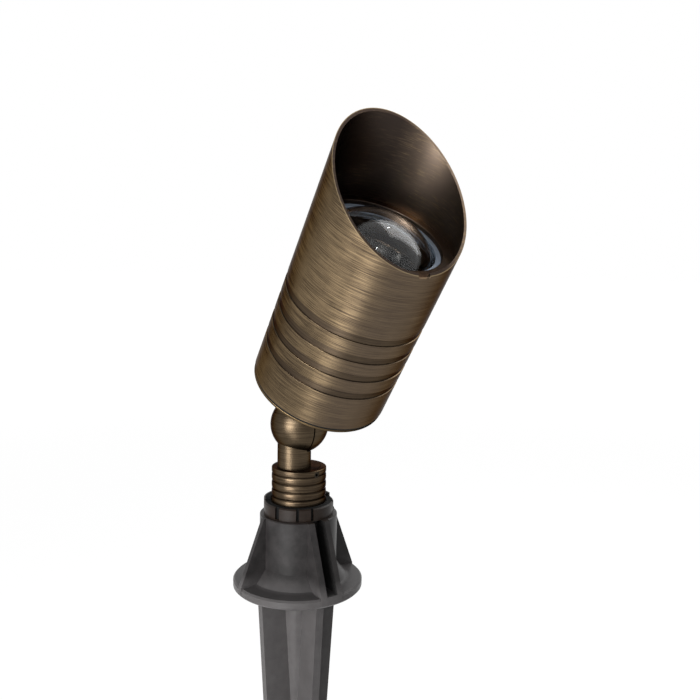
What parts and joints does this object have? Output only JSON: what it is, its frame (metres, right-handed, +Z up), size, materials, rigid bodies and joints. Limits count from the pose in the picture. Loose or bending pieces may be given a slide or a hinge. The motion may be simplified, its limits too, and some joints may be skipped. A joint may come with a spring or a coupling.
{
  "type": "garden spike spotlight",
  "caption": "Garden spotlight on a ground spike: slant-cut brass tube with a domed lens, tilting split knuckle, ribbed collar and moulded spike.",
  "frame": {"origin": "on the spike's axis at ground level, at the underside of the spike's flange", "axes": "+Z up along the spike and stem, -Y the way the lamp leans, X along the tilt axis"},
  "size_m": [0.0655, 0.1208, 0.4055],
  "materials": {
    "spike_plastic": "moulded, satin, faintly mottled",
    "collar_brass": "aged, turned ribs",
    "knuckle_brass": "satin cast and machined",
    "cap_brass": "aged, turned",
    "shroud_brass": "antique bronze patina, brushed round the tube",
    "steel": "plain zinc plated",
    "black_rubber": "smooth",
    "silicone": "soft satin",
    "clear_glass": "polished",
    "reflector": "faceted, coated glass",
    "ceramic": "unglazed ceramic",
    "lead_sleeve": "woven glass sleeve"
  },
  "bodies": {
    "spike": {"ground_spike": "spike_plastic", "stem_collar": "collar_brass"},
    "set_screw": {"collar_set_screw": "steel"},
    "stem": {"lower_knuckle": "knuckle_brass", "knuckle_seal": "black_rubber"},
    "clamp": {"clamp_screw": "steel"},
    "head": {"upper_knuckle": "knuckle_brass", "clamp_washer": "steel", "base_cap": "cap_brass", "spigot_o_rings": "black_rubber", "stud_washer": "steel", "stud_nut": "knuckle_brass", "lead_grommet": "black_rubber", "socket_bracket": "steel", "bracket_screws": "steel", "lamp_socket": "ceramic", "socket_screws": "steel", "socket_leads": "lead_sleeve"},
    "lamp": {"lamp_reflector": "reflector", "lamp_base": "ceramic", "lamp_pins": "steel", "lamp_capsule": "clear_glass"},
    "shroud_ring": {"base_gasket": "black_rubber"},
    "shroud": {"shroud_tube": "shroud_brass", "domed_lens": "clear_glass", "lens_seal": "silicone", "lens_clip": "steel"}
  },
  "joints": [
    {"name": "stem_swivel", "type": "hinge", "parent": "spike", "child": "stem", "pos_m": [0, 0, 0.052], "axis": [0, 0, 1], "range_deg": [-180, 180]},
    {"name": "head_tilt", "type": "hinge", "parent": "stem", "child": "head", "pos_m": [0, 0, 0.0805], "axis": [1, 0, 0], "range_deg": [-124.7, 55.3]},
    {"name": "clamp_screw_turn", "type": "hinge", "parent": "stem", "child": "clamp", "pos_m": [0, 0, 0.0805], "axis": [1, 0, 0], "range_deg": [-360, 0]},
    {"name": "set_screw_turn", "type": "hinge", "parent": "spike", "child": "set_screw", "pos_m": [0, 0, 0.0576], "axis": [0.1633, -0.9866, 0], "range_deg": [-360, 0]},
    {"name": "shroud_slide", "type": "slide", "parent": "head", "child": "shroud_ring", "axis": [0, -0.5693, 0.8221], "range_m": [0, 0.075]},
    {"name": "shroud_turn", "type": "hinge", "parent": "shroud_ring", "child": "shroud", "pos_m": [0.0019, -0.01583, 0.10336], "axis": [0, -0.5693, 0.8221], "continuous": true},
    {"name": "lamp_unplug", "type": "slide", "parent": "head", "child": "lamp", "axis": [0, -0.5693, 0.8221], "range_m": [0, 0.0072]}
  ]
}
